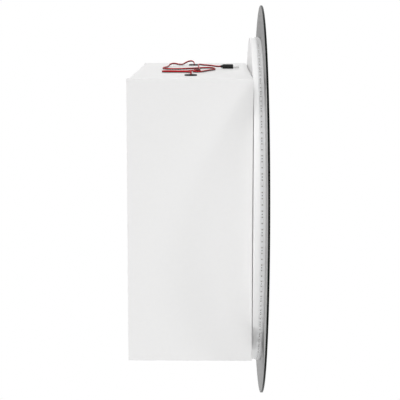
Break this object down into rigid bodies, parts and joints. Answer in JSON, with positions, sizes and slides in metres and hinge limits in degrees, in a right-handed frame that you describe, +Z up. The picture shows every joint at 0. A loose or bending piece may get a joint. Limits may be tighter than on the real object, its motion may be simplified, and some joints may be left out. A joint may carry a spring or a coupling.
{
  "type": "lighted mirror cabinet",
  "caption": "Wall-hung square white cabinet with a hinged round mirror door, a rim light round the door edge and a low-voltage lead with a plug on top.",
  "frame": {"origin": "middle between the two wall fixing holes, on the wall plane at the rear face of the cabinet", "axes": "+X to the right as seen from the front, +Y towards the wall so that the mirror faces -Y, +Z up"},
  "size_m": [0.5999, 0.1948, 0.6],
  "materials": {
    "white_laminate": "white melamine face on particle board, satin with a fine pearl grain",
    "white_hardboard": "white lacquered hardboard, matte",
    "white_edge_band": "white plastic edge band, satin",
    "beech": "fluted beech dowel, raw",
    "steel": "bright zinc plated steel",
    "zinc": "die-cast zinc alloy, dull",
    "ferrite": "dark ferrite magnet with steel poles",
    "white_plastic": "white moulded plastic, fine matte",
    "clear_bumper": "clear soft bumper dot",
    "black_rubber": "black cable grommet, matte",
    "black_plastic": "black moulded plastic, satin",
    "red_black_lead": "two-core lead, one red and one black insulation",
    "nickel": "nickel plated plug barrel",
    "foam_tape": "white double-sided foam tape",
    "mirror": "silvered glass, grey painted back, dark polished edge",
    "led_board": "white flexible LED circuit with copper pads",
    "led_package": "white LED package with pale yellow phosphor",
    "resistor": "black chip resistor with tinned ends"
  },
  "bodies": {
    "cabinet": {"left_side_panel": "white_laminate", "right_side_panel": "white_laminate", "top_panel": "white_laminate", "bottom_panel": "white_laminate", "hanging_rail": "white_laminate", "shelf": "white_laminate", "back_panel": "white_hardboard", "shelf_pins": "steel", "dowels": "beech", "cam_bolts": "steel", "cam_locks": "zinc", "back_panel_tacks": "steel", "upper_cabinet_leaf": "steel", "lower_cabinet_leaf": "steel", "cabinet_leaf_screws": "steel", "upper_hinge_pin": "steel", "lower_hinge_pin": "steel", "catch_housing": "white_plastic", "catch_magnet": "ferrite", "catch_screws": "steel", "door_bumpers": "clear_bumper", "left_grommet": "black_rubber", "right_grommet": "black_rubber", "left_inner_lead": "red_black_lead", "right_inner_lead": "red_black_lead", "door_lead": "red_black_lead", "plug_lead": "red_black_lead", "branch_lead": "red_black_lead", "lead_clips": "white_plastic", "lead_connector": "white_plastic", "splice_sleeve": "black_plastic", "dc_plug_body": "black_plastic", "dc_plug_barrel": "nickel"},
    "door": {"door_board": "white_laminate", "door_edge_band": "white_edge_band", "mirror_tapes": "foam_tape", "mirror_glass": "mirror", "upper_door_leaf": "steel", "lower_door_leaf": "steel", "door_leaf_screws": "steel", "strike_plate": "steel", "strike_screw": "steel", "first_led_strip": "led_board", "second_led_strip": "led_board", "led_chips": "led_package", "led_resistors": "resistor"}
  },
  "joints": [
    {"name": "door_swing", "type": "hinge", "parent": "cabinet", "child": "door", "pos_m": [0.203, -0.173, -0.155], "axis": [0, 0, 1], "range_deg": [0, 90], "deforming": ["door_lead"]}
  ]
}
